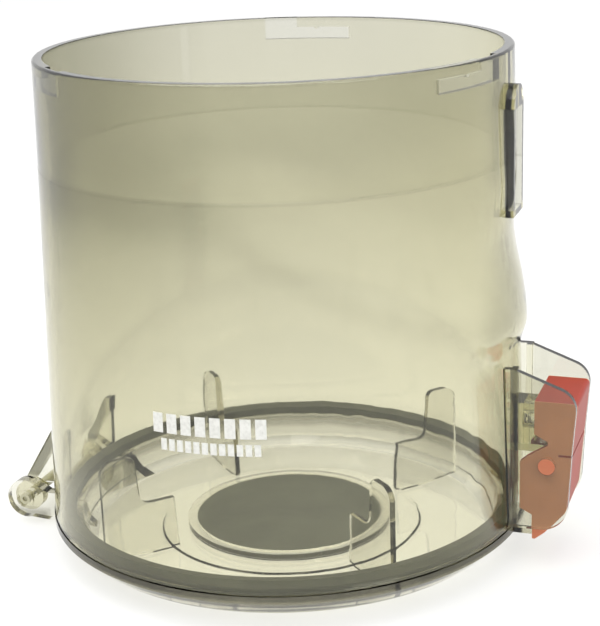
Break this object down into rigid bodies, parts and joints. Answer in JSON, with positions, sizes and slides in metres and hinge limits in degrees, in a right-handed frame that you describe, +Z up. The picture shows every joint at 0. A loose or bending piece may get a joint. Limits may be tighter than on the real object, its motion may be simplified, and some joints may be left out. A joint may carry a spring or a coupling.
{
  "type": "cyclone dust bin",
  "caption": "Clear round dust bin of a bagless vacuum cleaner, with bayonet rim, side inlet, hinged drop-down base lid with seal, and a sprung release lever.",
  "frame": {"origin": "centre of the lid's flat underside, on the bin's round axis", "axes": "+Z up along the round axis towards the rim, +X towards the latch, -X towards the lid hinge"},
  "size_m": [0.2069, 0.1698, 0.173],
  "materials": {
    "clear_wall": "clear smoky olive",
    "clear_lid": "clear smoky olive",
    "rubber": "matt",
    "pin_plastic": "satin, natural colour",
    "red_plastic": "satin",
    "spring_steel": "bright wire"
  },
  "bodies": {
    "bin": {"bin_body": "clear_wall", "latch_spring": "spring_steel"},
    "lid": {"base_lid": "clear_lid", "lid_seal": "rubber", "centre_seal": "rubber", "hinge_pin": "pin_plastic"},
    "lever": {"latch_lever": "red_plastic"}
  },
  "joints": [
    {"name": "lid_hinge", "type": "hinge", "parent": "bin", "child": "lid", "pos_m": [-0.094, 0, 0.0095], "axis": [0, 1, 0], "range_deg": [0, 100]},
    {"name": "lever_pivot", "type": "hinge", "parent": "bin", "child": "lever", "pos_m": [0.0961, 0, 0.0372], "axis": [0, -1, 0], "range_deg": [0, 8], "stiffness_Nm_per_rad": 0.4, "springref_deg": -8.59, "deforming": ["latch_spring"]}
  ]
}
